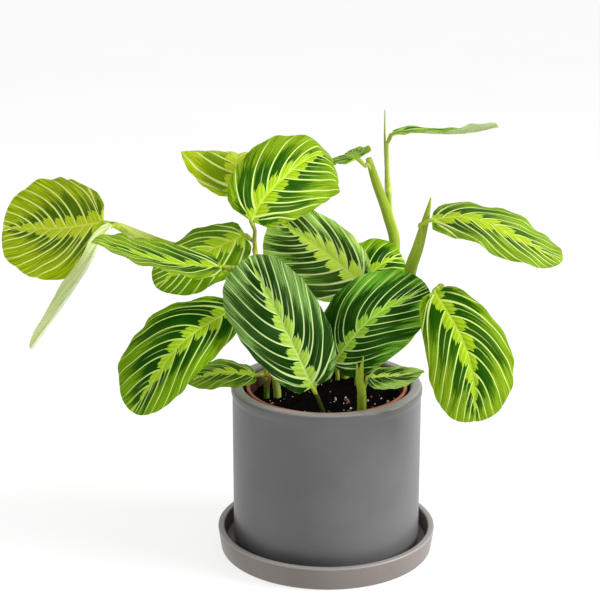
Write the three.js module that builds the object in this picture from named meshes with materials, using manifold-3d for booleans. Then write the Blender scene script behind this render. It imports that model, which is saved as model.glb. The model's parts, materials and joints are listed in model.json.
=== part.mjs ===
// Potted prayer plant: ceramic pot and saucer, nursery pot, soil, shoots and seventeen leaves.
// Millimetres, +Z up. The origin is the centre of the saucer's underside, the front faces -Y.
import * as THREE from 'three';
import { mergeVertices } from 'three/addons/utils/BufferGeometryUtils.js';
import Module from 'manifold-3d';

const wasm = await Module();
wasm.setup();

// Driving dimensions of the pots
const SADDLE_GAP = 0.3;
const SAUCER = {
  footRadius: 78,
  rimRadius: 82.7,
  height: 18.3,
  floor: 5,
  wall: 5,
  footRound: 2.5,
  rimRound: 1,
  lipRound: 1.5,
  innerRound: 2,
};
const POT = {
  footRadius: 64,
  radius: 70.7,
  rimRadius: 71.6,
  innerRadius: 62.5,
  height: 126.6,
  floor: 7,
  drainRadius: 7,
  bandHeight: 9,
  bandEdge: 4,
  lipRound: 3,
  innerRound: 7,
};
const NURSERY = {
  lipRadius: 60.2,
  lipHeight: 6,
  lipStep: 2,
  lipRound: 0.8,
  height: 117,
  footRadius: 45,
  footRound: 1.5,
  wall: 1.3,
  drainRadius: 4,
  drainCircle: 28,
  drains: 6,
};
const ROUND_SIDES = 48;
const POT_FOOT_Z = SAUCER.floor + SADDLE_GAP;
const NURSERY_FOOT_Z = POT_FOOT_Z + POT.floor + SADDLE_GAP;
const NURSERY_RIM_Z = NURSERY_FOOT_Z + NURSERY.height;

// Soil
const SOIL_Z = 121;
const SOIL_BUMP = { height: 1.2, edge: 0.3, across: 39, along: 33 };
const SOIL_RINGS = 6;
const SOIL_SIDES = 24;
const ROOT_Z = 100;
const HOLE_GAP = 0.6;
const HOLE_SIDES = 10;

// Leaves: a blade is thin at the margin and thicker along the midrib
const BLADE = 0.7;
const MIDRIB = 1.4;
const JOINT = { length: 6, radius: 1.5, inside: 3, innerRadius: 0.9, gap: 0.4 };
const WAVES = 2.3;
const SIDE_PHASE = 0.37;
const VEIN_SWEEP = 0.42;
const VEIN_LATE = 0.6;
const VEIN_RISE = 3.5;
const TIP_TAPER = 2.2;
const LOBE_AT = 0.07;
const FRAME_STEPS = 48;
const COLUMNS = [-1, -0.88, -0.66, -0.38, -0.12, 0.12, 0.28, 0.43, 0.57, 0.71, 0.85, 1];
const ROWS = [0, 0.36, 0.7, 1];

// Stems
const STEM_SIDES = 8;
const STALK_SIDES = 6;
const STEPS_PER_SPAN = 2;
const STALK_RADIUS = 1.4;
const STRAIGHT_END = 3;
const SLIVER = 0.12;

const FINISHES = {
  ceramic: { color: 0x77706e, roughness: 0.7 },
  saucer: { color: 0x807a75, roughness: 0.7 },
  terracotta: { color: 0xa85a3c, roughness: 0.5 },
  soil: { color: 0x1d1613, roughness: 0.95 },
  stem: { color: 0xa5c24a, roughness: 0.5 },
  stalk: { color: 0x93a04a, roughness: 0.5 },
};
const LEAF_ROUGHNESS = 0.45;

// Each leaf: midrib from base to tip, the way its upper face looks at mid length, and joint, the direction
// from the base to the leaf stalk. A pair holds the value right and left of the midrib, seen from above:
// half width, fold up from the midrib and curl back down in degrees, where it is widest, how blunt its tip
// and how full its base is.
const PLAIN_LEAF = {
  fold: [8, 8],
  curl: [28, 28],
  peak: [0.46, 0.46],
  blunt: [0.5, 0.5],
  full: [2.6, 2.6],
  lobe: 0.035,
  wave: 2,
  phase: 0,
  twist: 0,
  green: 0x5f9a2a,
};

const LEAVES = {
  // far left, seen almost face on
  leaf_01: {
    midrib: [[-163.8, -1.4, 256], [-204, 34, 242], [-249, 68, 234]],
    upper: [-0.61, -0.64, 0.43],
    half: [42, 39],
    peak: [0.6, 0.46],
    full: [1.45, 1.9],
    lobe: 0.05,
    joint: [1, 0.15, -0.2],
    green: 0x8ab02a,
  },
  // folded, drooping in front of the first
  leaf_02: {
    midrib: [[-156, -6, 255], [-164, -18, 246], [-173, -27, 230], [-190, -34, 205], [-214, -40, 172]],
    upper: [-0.75, 0.6, 0.3],
    half: [11.5, 8],
    fold: [45, 45],
    curl: [14, 14],
    wave: 1,
    joint: [0.8, 0.5, 0.1],
    green: 0xb5cc6e,
  },
  // left, nearly level, seen from its edge
  leaf_03: {
    midrib: [[-75, -42, 234], [-114, -64, 244], [-162, -80, 263]],
    upper: [0.2, -0.05, 1],
    half: [34, 27],
    curl: [5, 10],
    wave: 1.2,
    joint: [0.86, 0.45, -0.25],
  },
  // left, behind the third
  leaf_04: {
    midrib: [[-60, 5, 245], [-91, -6, 233], [-124, -24, 214]],
    upper: [-0.2, -0.75, 0.6],
    half: [23, 25],
    fold: [5, 5],
    joint: [0.7, -0.5, -0.5],
    green: 0x93bb2a,
  },
  // lower left, drooping outside the pot
  leaf_05: {
    midrib: [[-67, -34, 201], [-104, -66, 184], [-140, -62, 132]],
    upper: [-0.3, -0.9, 0.4],
    half: [33, 24],
    curl: [30, 60],
    peak: [0.66, 0.46],
    full: [2, 2],
    joint: [0.75, 0.6, -0.3],
  },
  // small, over the left of the rim
  leaf_06: {
    midrib: [[-53, -14, 143], [-77, -22, 148], [-104, -34, 145]],
    upper: [-0.1, -0.45, 0.85],
    half: [15, 15],
    wave: 1,
    joint: [0.93, 0.3, -0.15],
    green: 0x4c8a26,
  },
  // top centre
  leaf_07: {
    midrib: [[-55, -16, 261], [-45, -4, 276], [-22, 26, 292], [-5, 48, 296], [5, 62, 287]],
    upper: [0.45, -0.59, 0.66],
    half: [34, 32],
    curl: [26, 36],
    peak: [0.7, 0.4],
    blunt: [0.45, 1.1],
    joint: [0.25, 0.3, -0.9],
  },
  // top left, behind the seventh
  leaf_08: {
    midrib: [[-67, 25, 269], [-68, 50, 287], [-67, 72, 291], [-66, 91, 283]],
    upper: [-0.04, -0.5, 0.87],
    half: [26, 43],
    curl: [12, 10],
    peak: [0.46, 0.67],
    full: [2.6, 1.5],
    wave: 1,
    joint: [0.7, 0.3, -0.6],
    green: 0x93bb2a,
  },
  // centre, behind the front leaves
  leaf_09: {
    midrib: [[26, 8, 206], [-8, 28, 231], [-40, 46, 247]],
    upper: [-0.17, -0.86, 0.41],
    half: [23, 38],
    peak: [0.46, 0.64],
    blunt: [0.45, 0.45],
    joint: [0.55, -0.2, -0.8],
    green: 0x3f7a36,
  },
  // right of centre, behind the ninth
  leaf_10: {
    midrib: [[10, 28, 187], [43, 44, 212], [59, 58, 213]],
    upper: [0.2, -0.75, 0.6],
    half: [25, 25],
    joint: [-0.5, -0.2, -0.85],
    green: 0x4c8a26,
  },
  // front centre, the largest
  leaf_11: {
    midrib: [[-11, -50, 146], [-33, -64, 200], [-56, -52, 244]],
    upper: [0.1, -1, 0.2],
    half: [30, 33],
    fold: [10, 10],
    curl: [28, 32],
    peak: [0.42, 0.7],
    full: [2.6, 1.7],
    joint: [0.36, 0.4, -0.85],
    green: 0x3f7a36,
  },
  // front, right of centre
  leaf_12: {
    midrib: [[3, -34, 158], [31, -46, 197], [72, -26, 214]],
    upper: [-0.1, -1, 0.3],
    half: [30, 30],
    fold: [10, 10],
    curl: [30, 30],
    peak: [0.5, 0.5],
    blunt: [0.6, 0.6],
    joint: [-0.5, 0.4, -0.77],
    green: 0x3f7a36,
  },
  // right, drooping in front
  leaf_13: {
    midrib: [[75, -46, 217], [93, -70, 190], [102, -74, 160], [105, -66, 126]],
    upper: [0.15, -1, 0.3],
    half: [30, 32],
    peak: [0.6, 0.64],
    full: [1.8, 1.8],
    joint: [0.5, 0.8, 0.2],
  },
  // upper right, nearly level
  leaf_14: {
    midrib: [[74, -20, 263], [97, -24, 266], [122, -32, 260], [164, -48, 239]],
    upper: [0, -0.35, 0.93],
    half: [23, 29],
    fold: [-6, -6],
    curl: [12, 12],
    peak: [0.5, 0.5],
    joint: [-0.85, 0.1, -0.5],
  },
  // top right, seen from its edge
  leaf_15: {
    midrib: [[49, 64, 308], [64, 60, 311], [92, 50, 312], [110, 43, 315], [126, 36, 320]],
    upper: [-0.15, 0.14, 0.98],
    half: [22, 11],
    fold: [18, 18],
    curl: [20, 20],
    twist: -22,
    wave: 1,
    joint: [-0.35, 0.1, -0.93],
  },
  // small young leaf at the top of the broad sheath
  leaf_16: {
    midrib: [[23, 62, 290], [19, 78, 289], [13, 95, 285]],
    upper: [-0.35, -0.05, 0.93],
    half: [15, 17],
    fold: [15, 15],
    lobe: 0.2,
    wave: 1,
    joint: [0.7, 0.1, -0.7],
  },
  // small, over the right of the rim
  leaf_17: {
    midrib: [[29, -46, 153], [50, -50, 155.5], [69, -51, 159]],
    upper: [0, -0.5, 0.85],
    half: [13, 8],
    curl: [10, 10],
    peak: [0.38, 0.38],
    blunt: [0.9, 0.9],
    wave: 0.5,
    joint: [-0.15, 0.6, -0.8],
    green: 0x4c8a26,
  },
};

// Each shoot: branches as points with their radius. A branch that names a leaf ends at that leaf's joint.
const SHOOTS = {
  shoot_left: [
    { path: [[-37, 0, ROOT_Z, 3], [-37, 0, 122, 3], [-38, -1, 132, 2.8], [-42, -6, 167, 2.4],
      [-49, -8, 214, 2.2], [-53, -8, 238, 2]] },
    { path: [[-52, -8, 232, 1.6], [-53, -9, 244, 1.6]], leaf: 'leaf_07' },
    { path: [[-51, -8, 226, 1.4], [-53, -2, 236, 1.4]], leaf: 'leaf_04' },
    { path: [[-48, -8, 206, 1.5], [-60, -24, 221, 1.4]], leaf: 'leaf_03' },
    { path: [[-44, -7, 178, 1.6], [-54, -20, 193, 1.4]], leaf: 'leaf_05' },
    { path: [[-49, -8, 216, 1.8], [-66, 10, 224, 1.9], [-94, 18, 229, 2], [-118, 18, 234.5, 2.4],
      [-136, 12, 242, 3.4], [-146, 6, 248, 3.2]] },
    { path: [[-142, 8, 245, 1.6], [-150, 3, 250, 1.5]], leaf: 'leaf_01' },
    { path: [[-141, 8, 245, 1.6], [-147, 1, 251, 1.5]], leaf: 'leaf_02' },
  ],
  shoot_back: [
    { path: [[15, 42, ROOT_Z, 2.8], [15, 42, 122, 2.8], [16, 43, 132, 2.8], [42, 62, 179, 3.4],
      [53, 67, 217, 4.2], [47, 67, 245, 4], [38, 66, 270, 3.4], [32, 65, 289, 2.4]] },
    { path: [[34, 65, 280, 1.4], [31, 63, 285, 1.3]], leaf: 'leaf_16' },
    { path: [[50, 67, 230, 2], [49, 69, 252, 1.9], [47.5, 69, 264, 2.6], [46.5, 68, 276, 2],
      [46, 67, 288, 1.7]], leaf: 'leaf_15' },
    { path: [[46, 67.5, 270, 1], [44.3, 67, 300, 0.8], [44, 67, 326, 0.35]] },
  ],
  shoot_right: [
    { path: [[24, 27, ROOT_Z, 2.4], [24, 27, 122, 2.4], [26, 27, 128, 2.4], [38, 22, 138, 2.3],
      [61, 10, 163, 2.9], [66, 0, 184, 2.3], [60, -8, 216, 4.4], [66, -10, 241, 4], [71, -11, 262, 2.4],
      [74, -12, 277, 0.5]] },
    { path: [[65, 1, 180, 1.8], [80, -14, 205, 1.5], [82, -31, 216, 1.4]], leaf: 'leaf_13' },
    { path: [[65, -10, 240, 1.5], [67, -16, 253, 1.4]], leaf: 'leaf_14' },
  ],
  shoot_small_right: [
    { path: [[25, -36, ROOT_Z, 3.4], [25, -36, 122, 3.4], [25, -37, 128, 3.4], [24.7, -40, 139, 3.3],
      [23.6, -43, 148, 2.8], [24, -48, 159, 1.7], [25.3, -52, 170, 0.4]] },
    { path: [[25.5, -38, 134, 2], [26, -40, 141, 1.6]], leaf: 'leaf_17' },
  ],
  shoot_small_left: [
    { path: [[-45, -2, ROOT_Z, 2.2], [-45, -2, 122, 2.2], [-45, -3, 130, 2], [-47, -5, 138, 1.4],
      [-50, -6, 143, 0.4]] },
    { path: [[-45, -3, 128, 1.5], [-43, -8, 137, 1.3]], leaf: 'leaf_06' },
  ],
  stalk_front: [
    { path: [[-3, -40, ROOT_Z, 1.6], [-3, -40, 122, 1.6], [-4.5, -42, 128, 1.5]], leaf: 'leaf_11' },
  ],
  stalk_centre: [
    { path: [[-9, 18, ROOT_Z, 1.6], [-9, 18, 122, 1.6], [-10, 16, 130, 1.5], [-9, -4, 142, 1.5],
      [-4, -22, 149, 1.4]], leaf: 'leaf_12' },
  ],
  stalk_behind: [
    { path: [[9, 37, ROOT_Z, 1.6], [9, 37, 122, 1.6], [10, 36, 134, 1.5], [25, 22, 172, 1.5],
      [31, 10, 193, 1.4]], leaf: 'leaf_09' },
  ],
  stalk_inner: [
    { path: [[-6, 38, ROOT_Z, 1.6], [-6, 38, 122, 1.6], [-5, 38, 134, 1.5], [2, 32, 164, 1.5]],
      leaf: 'leaf_10' },
  ],
  stalk_top_left: [
    { path: [[-46, 20, ROOT_Z, 1.8], [-46, 20, 122, 1.8], [-46, 21, 132, 1.7], [-45, 42, 182, 1.5],
      [-43, 54, 232, 1.5], [-50, 38, 256, 1.4]], leaf: 'leaf_08' },
  ],
};

// The surface of one leaf blade, as a formula
class Blade {
  constructor(spec) {
    Object.assign(this, PLAIN_LEAF, spec);
    const points = this.midrib.map((p) => new THREE.Vector3(...p));
    this.curve = new THREE.CatmullRomCurve3(points, false, 'catmullrom', 0.5);
    this.length = this.curve.getLength();
    this.spine = this.curve.getSpacedPoints(FRAME_STEPS);
    this.tangents = this.spine.map((p, i) => {
      const ahead = this.spine[Math.min(i + 1, FRAME_STEPS)];
      const behind = this.spine[Math.max(i - 1, 0)];
      return ahead.clone().sub(behind).normalize();
    });
    this.carryFrames();
  }

  // The upper direction is set at mid length and carried to both ends without turning about the midrib
  carryFrames() {
    const middle = FRAME_STEPS / 2;
    this.ups = [];
    this.ups[middle] = squareTo(new THREE.Vector3(...this.upper), this.tangents[middle]);
    for (let i = middle + 1; i <= FRAME_STEPS; i++) {
      this.ups[i] = squareTo(this.ups[i - 1], this.tangents[i]);
    }
    for (let i = middle - 1; i >= 0; i--) {
      this.ups[i] = squareTo(this.ups[i + 1], this.tangents[i]);
    }
    this.ups.forEach((up, i) => {
      const angle = THREE.MathUtils.degToRad(this.twist) * (i / FRAME_STEPS - 0.5);
      up.applyAxisAngle(this.tangents[i], angle);
    });
  }

  // A point at x along the blade (0 base, 1 tip) and q mm out from the midrib
  at(x, q, side) {
    const place = THREE.MathUtils.clamp(x, 0, 1) * FRAME_STEPS;
    const i = Math.min(Math.floor(place), FRAME_STEPS - 1);
    const t = place - i;
    const tangent = this.tangents[i].clone().lerp(this.tangents[i + 1], t).normalize();
    const up = this.ups[i].clone().lerp(this.ups[i + 1], t).normalize();
    const right = tangent.clone().cross(up);
    const centre = this.spine[i].clone().lerp(this.spine[i + 1], t);
    centre.addScaledVector(tangent, Math.min(x, 0) * this.length);
    const s = side > 0 ? 0 : 1;
    const fold = THREE.MathUtils.degToRad(this.fold[s]);
    const bend = THREE.MathUtils.degToRad(this.curl[s]) / this.half[s];
    const across = (Math.sin(fold) - Math.sin(fold - bend * q)) / bend;
    const rise = (Math.cos(fold - bend * q) - Math.cos(fold)) / bend;
    const turns = WAVES * x + this.phase + (side > 0 ? SIDE_PHASE : 0);
    const ripple = this.wave * (q / this.half[s]) ** 2 * Math.sin(2 * Math.PI * turns);
    return centre.addScaledVector(right, side * across).addScaledVector(up, rise + ripple);
  }

  // Where the margin is: a rounded base with small lobes, widest at the peak, then down to the tip
  margin(e, side) {
    const s = side > 0 ? 0 : 1;
    const peak = this.peak[s];
    const back = e / LOBE_AT;
    const x = e - this.lobe * back * Math.exp(1 - back);
    const low = Math.sqrt(1 - ((peak - Math.min(e, peak)) / peak) ** this.full[s]);
    const high = (1 - ((Math.max(e, peak) - peak) / (1 - peak)) ** TIP_TAPER) ** this.blunt[s];
    return [x, this.half[s] * (e < peak ? low : high)];
  }

  // A point on the side vein k (-1 at the base, 1 at the tip), v of the way out to the margin
  onVein(k, v, side) {
    const start = Math.max(k, 0);
    const end = k < 0 ? VEIN_SWEEP * (1 + k) : 1 - (1 - k) ** TIP_TAPER * (1 - VEIN_SWEEP);
    const [x, q] = this.margin(end, side);
    const late = VEIN_LATE * Math.min(1, 1 + k);
    return this.at(start + (x - start) * ((1 - late) * v + late * v ** VEIN_RISE), v * q, side);
  }

  jointDirection() {
    return new THREE.Vector3(...this.joint).normalize();
  }

  // The end of the leaf's swollen joint, or a point further out by the extra length
  jointEnd(extra = 0) {
    return this.spine[0].clone().addScaledVector(this.jointDirection(), JOINT.length + extra);
  }
}

function squareTo(vector, axis) {
  return vector.clone().addScaledVector(axis, -vector.dot(axis)).normalize();
}

// Closed mesh from points and triangles
function closedGeometry(points, triangles) {
  const geometry = new THREE.BufferGeometry();
  geometry.setAttribute('position', new THREE.Float32BufferAttribute(points.flatMap((p) => p.toArray()), 3));
  geometry.setIndex(triangles.flat());
  return geometry;
}

function toManifold(geometry) {
  const bare = geometry.clone();
  bare.deleteAttribute('normal');
  bare.deleteAttribute('uv');
  const merged = mergeVertices(bare, 1e-4);
  const vertProperties = new Float32Array(merged.attributes.position.array);
  const triVerts = new Uint32Array(merged.index.array);
  return new wasm.Manifold(new wasm.Mesh({ numProp: 3, vertProperties, triVerts }));
}

function fromManifold(manifold) {
  const { vertProperties, triVerts } = manifold.getMesh();
  const geometry = new THREE.BufferGeometry();
  geometry.setAttribute('position', new THREE.BufferAttribute(new Float32Array(vertProperties), 3));
  geometry.setIndex(new THREE.BufferAttribute(new Uint32Array(triVerts), 1));
  return geometry;
}

// One solid from several, without the slivers that the join leaves
function joined(geometries) {
  const solid = geometries.map(toManifold).reduce((sum, next) => sum.add(next));
  return fromManifold(solid.simplify(SLIVER));
}

// A round tube through points [x, y, z, radius], closed at both ends
function tube(path, sides = STEM_SIDES, stepsPerSpan = STEPS_PER_SPAN) {
  const points = path.map((p) => new THREE.Vector3(p[0], p[1], p[2]));
  const curve = new THREE.CatmullRomCurve3(points, false, 'catmullrom', 0.5);
  const count = (path.length - 1) * stepsPerSpan;
  const vertices = [];
  const triangles = [];
  let normal = new THREE.Vector3(1, 0.2, 0.1);
  for (let i = 0; i <= count; i++) {
    const t = i / count;
    const tangent = curve.getTangent(t);
    normal = squareTo(normal, tangent);
    const binormal = tangent.clone().cross(normal);
    const span = Math.min(Math.floor(i / stepsPerSpan), path.length - 2);
    const radius = THREE.MathUtils.lerp(path[span][3], path[span + 1][3], i / stepsPerSpan - span);
    for (let j = 0; j < sides; j++) {
      const angle = (2 * Math.PI * j) / sides;
      vertices.push(curve.getPoint(t)
        .addScaledVector(normal, radius * Math.cos(angle))
        .addScaledVector(binormal, radius * Math.sin(angle)));
    }
  }
  const ring = (i, j) => i * sides + (j % sides);
  for (let j = 0; j < sides; j++) {
    for (let i = 0; i < count; i++) {
      triangles.push([ring(i, j), ring(i, j + 1), ring(i + 1, j + 1)]);
      triangles.push([ring(i, j), ring(i + 1, j + 1), ring(i + 1, j)]);
    }
  }
  for (let j = 1; j < sides - 1; j++) {
    triangles.push([ring(0, 0), ring(0, j + 1), ring(0, j)]);
    triangles.push([ring(count, 0), ring(count, j), ring(count, j + 1)]);
  }
  return closedGeometry(vertices, triangles);
}

// One face of the blade: its points, triangles and the loop of points round its margin
function bladeFace(blade) {
  const points = [];
  const numbers = new Map();
  const lastColumn = COLUMNS.length - 1;
  const lastRow = ROWS.length - 1;
  const nameOf = (side, i, j) => {
    if (i === 0 || (j === 0 && COLUMNS[i] <= 0)) return 'base';
    if (i === lastColumn) return 'tip';
    return j === 0 ? `midrib ${i}` : `${side} ${i} ${j}`;
  };
  const vertex = (side, i, j) => {
    const name = nameOf(side, i, j);
    if (!numbers.has(name)) {
      numbers.set(name, points.length);
      points.push(blade.onVein(COLUMNS[i], ROWS[j], side));
    }
    return numbers.get(name);
  };
  const triangles = [];
  const addTriangle = (a, b, c) => {
    if (a !== b && b !== c && c !== a) triangles.push([a, b, c]);
  };
  for (const side of [1, -1]) {
    for (let i = 0; i < lastColumn; i++) {
      for (let j = 0; j < lastRow; j++) {
        const [a, b] = [vertex(side, i, j), vertex(side, i + 1, j)];
        const [c, d] = [vertex(side, i + 1, j + 1), vertex(side, i, j + 1)];
        if (side > 0) {
          addTriangle(a, c, b);
          addTriangle(a, d, c);
        } else {
          addTriangle(a, b, c);
          addTriangle(a, c, d);
        }
      }
    }
  }
  const rim = [];
  for (let i = 0; i < lastColumn; i++) rim.push(vertex(1, i, lastRow));
  for (let i = lastColumn; i > 0; i--) rim.push(vertex(-1, i, lastRow));
  const midrib = new Set(COLUMNS.map((_, i) => vertex(1, i, 0)));
  return { points, triangles, rim, midrib };
}

// The blade as two like faces and the strip round its margin, fused to the leaf's joint
function leafGeometry(blade) {
  const { points, triangles, rim, midrib } = bladeFace(blade);
  const skin = closedGeometry(points, triangles);
  skin.computeVertexNormals();
  const steepest = Math.cos(THREE.MathUtils.degToRad(Math.max(...blade.fold)));
  const middle = Math.max(MIDRIB, BLADE / steepest);
  const lower = points.map((p, i) => {
    const normal = new THREE.Vector3().fromBufferAttribute(skin.attributes.normal, i);
    return p.clone().addScaledVector(normal, midrib.has(i) ? -middle : -BLADE);
  });
  const n = points.length;
  const faces = [...triangles, ...triangles.map(([a, b, c]) => [n + a, n + c, n + b])];
  rim.forEach((a, i) => {
    const b = rim[(i + 1) % rim.length];
    faces.push([a, n + b, b], [a, n + a, n + b]);
  });
  return joined([closedGeometry([...points, ...lower], faces), jointGeometry(blade)]);
}

// The swollen joint between blade and stalk, sunk into the blade's base
function jointGeometry(blade) {
  const under = blade.ups[0].clone().multiplyScalar(-MIDRIB / 2);
  const inner = blade.spine[0].clone().addScaledVector(blade.tangents[0], JOINT.inside).add(under);
  const middle = blade.spine[0].clone().add(under);
  const path = [
    [...inner, JOINT.innerRadius],
    [...middle, JOINT.radius],
    [...blade.jointEnd(-JOINT.length / 2), JOINT.radius],
    [...blade.jointEnd(), JOINT.radius],
  ];
  return tube(path, STALK_SIDES, 1);
}

function shootGeometry(branches, blades) {
  return joined(branches.map(({ path, leaf }) => {
    if (!leaf) return tube(path);
    const nearEnd = blades[leaf].jointEnd(JOINT.gap + STRAIGHT_END);
    const end = blades[leaf].jointEnd(JOINT.gap);
    return tube([...path, [...nearEnd, STALK_RADIUS], [...end, STALK_RADIUS]], STALK_SIDES);
  }));
}

// A round body from its outline [radius, z]
function turned(outline, sides = ROUND_SIDES) {
  const geometry = new THREE.LatheGeometry(outline.map(([r, z]) => new THREE.Vector2(r, z)), sides);
  return geometry.rotateX(Math.PI / 2);
}

// Points on a quarter round of the outline, from one angle to another in degrees
function arc(centreRadius, centreZ, radius, from, to, steps) {
  const points = [];
  for (let i = 0; i <= steps; i++) {
    const angle = THREE.MathUtils.degToRad(from + ((to - from) * i) / steps);
    points.push([centreRadius + radius * Math.cos(angle), centreZ + radius * Math.sin(angle)]);
  }
  return points;
}

function saucerGeometry() {
  const { footRadius, rimRadius, height, floor, wall, footRound, rimRound, lipRound, innerRound } = SAUCER;
  const inner = rimRadius - wall;
  return turned([
    [0, 0],
    [footRadius, 0],
    ...arc(footRadius, footRound, footRound, -60, 0, 2),
    ...arc(rimRadius - rimRound, height - rimRound, rimRound, 0, 90, 1),
    ...arc(inner + lipRound, height - lipRound, lipRound, 90, 180, 2),
    [inner - innerRound, floor + innerRound],
    [inner - 2 * innerRound, floor],
    [0, floor],
  ]);
}

function potGeometry() {
  const { footRadius, radius, rimRadius, innerRadius, height, floor, drainRadius } = POT;
  const { bandHeight, bandEdge, lipRound, innerRound } = POT;
  const footRound = radius - footRadius;
  const outline = [
    [drainRadius, 0],
    [footRadius, 0],
    ...arc(footRadius, footRound, footRound, -60, 0, 2),
    [radius, height - bandHeight],
    [rimRadius, height - bandHeight + bandEdge],
    ...arc(rimRadius - lipRound, height - lipRound, lipRound, 0, 90, 2),
    ...arc(innerRadius + lipRound, height - lipRound, lipRound, 90, 180, 2),
    ...arc(innerRadius - innerRound, floor + innerRound, innerRound, 0, -90, 2),
    [drainRadius, floor],
    [drainRadius, 0],
  ];
  return turned(outline.map(([r, z]) => [r, z + POT_FOOT_Z]));
}

// The nursery pot's outer wall radius at a height, under its rolled lip
function nurseryRadius(z) {
  const top = NURSERY.lipRadius - NURSERY.lipStep;
  return THREE.MathUtils.mapLinear(z, NURSERY_FOOT_Z, NURSERY_RIM_Z, NURSERY.footRadius, top);
}

function nurseryGeometry() {
  const { lipRadius, lipHeight, lipRound, wall, footRadius, footRound } = NURSERY;
  const { drainRadius, drainCircle, drains } = NURSERY;
  const rim = NURSERY_RIM_Z;
  const foot = NURSERY_FOOT_Z;
  const under = rim - lipHeight;
  const cup = turned([
    [0, foot],
    [footRadius - footRound, foot],
    [nurseryRadius(foot + footRound), foot + footRound],
    [nurseryRadius(under), under],
    [lipRadius, under],
    [lipRadius, rim - lipRound],
    [lipRadius - lipRound, rim],
    [nurseryRadius(rim) - wall + lipRound, rim],
    [nurseryRadius(under) - wall, under],
    [nurseryRadius(foot + wall) - wall, foot + wall],
    [0, foot + wall],
  ]);
  const drain = new THREE.CylinderGeometry(drainRadius, drainRadius, 4 * wall, 8).rotateX(Math.PI / 2);
  let solid = toManifold(cup);
  for (let i = 0; i < drains; i++) {
    const angle = (i * 2 * Math.PI) / drains;
    const place = drain.clone().translate(drainCircle * Math.cos(angle), drainCircle * Math.sin(angle), foot);
    solid = solid.subtract(toManifold(place));
  }
  return fromManifold(solid);
}

// Soil fills the nursery pot, with a slightly uneven top and plain holes for the stems
function soilGeometry() {
  const clear = NURSERY.wall + SADDLE_GAP;
  const bottom = NURSERY_FOOT_Z + clear;
  const points = [new THREE.Vector3(0, 0, SOIL_Z), new THREE.Vector3(0, 0, bottom)];
  const triangles = [];
  const ringPoint = (radius, j, z) => {
    const angle = (2 * Math.PI * j) / SOIL_SIDES;
    return new THREE.Vector3(radius * Math.cos(angle), radius * Math.sin(angle), z);
  };
  const topRadius = nurseryRadius(SOIL_Z) - clear;
  for (let ring = 1; ring <= SOIL_RINGS; ring++) {
    for (let j = 0; j < SOIL_SIDES; j++) {
      const p = ringPoint((topRadius * ring) / SOIL_RINGS, j, SOIL_Z);
      const height = SOIL_BUMP.height * (ring < SOIL_RINGS ? 1 : SOIL_BUMP.edge);
      const hill = Math.sin((2 * Math.PI * p.x) / SOIL_BUMP.across + 1);
      p.z += height * hill * Math.cos((2 * Math.PI * p.y) / SOIL_BUMP.along);
      points.push(p);
    }
  }
  for (let j = 0; j < SOIL_SIDES; j++) points.push(ringPoint(nurseryRadius(bottom) - clear, j, bottom));
  const at = (ring, j) => 2 + (ring - 1) * SOIL_SIDES + (j % SOIL_SIDES);
  for (let j = 0; j < SOIL_SIDES; j++) {
    triangles.push([0, at(1, j), at(1, j + 1)]);
    for (let ring = 1; ring <= SOIL_RINGS; ring++) {
      triangles.push([at(ring, j), at(ring + 1, j), at(ring + 1, j + 1)]);
      triangles.push([at(ring, j), at(ring + 1, j + 1), at(ring, j + 1)]);
    }
    triangles.push([1, at(SOIL_RINGS + 1, j + 1), at(SOIL_RINGS + 1, j)]);
  }
  let solid = toManifold(closedGeometry(points, triangles));
  for (const [{ path }] of Object.values(SHOOTS)) {
    const [x, y, z, radius] = path[0];
    const depth = 2 * (SOIL_Z - z + SADDLE_GAP);
    const hole = new THREE.CylinderGeometry(radius + HOLE_GAP, radius + HOLE_GAP, depth, HOLE_SIDES);
    solid = solid.subtract(toManifold(hole.rotateX(Math.PI / 2).translate(x, y, SOIL_Z)));
  }
  return fromManifold(solid);
}

const plant = new THREE.Group();

function add(name, geometry, { color, roughness }) {
  const material = new THREE.MeshStandardMaterial({ color, roughness, metalness: 0, flatShading: true });
  const mesh = new THREE.Mesh(geometry, material);
  mesh.name = name;
  plant.add(mesh);
}

add('saucer', saucerGeometry(), FINISHES.saucer);
add('ceramic_pot', potGeometry(), FINISHES.ceramic);
add('nursery_pot', nurseryGeometry(), FINISHES.terracotta);
add('soil', soilGeometry(), FINISHES.soil);

const blades = {};
for (const [name, spec] of Object.entries(LEAVES)) {
  blades[name] = new Blade(spec);
  add(name, leafGeometry(blades[name]), { color: blades[name].green, roughness: LEAF_ROUGHNESS });
}
for (const [name, branches] of Object.entries(SHOOTS)) {
  const finish = name.startsWith('stalk') ? FINISHES.stalk : FINISHES.stem;
  add(name, shootGeometry(branches, blades), finish);
}

export default plant;
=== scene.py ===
"""Potted prayer plant: fine leaves, stems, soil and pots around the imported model.

Shapes are worked out in millimetres, as in the part's source, and become metres where a mesh is made.
"""

import json
import math
import random
from collections import namedtuple
from types import SimpleNamespace as Facts

import bpy
import numpy as np
from mathutils import Euler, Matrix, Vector, noise


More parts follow.
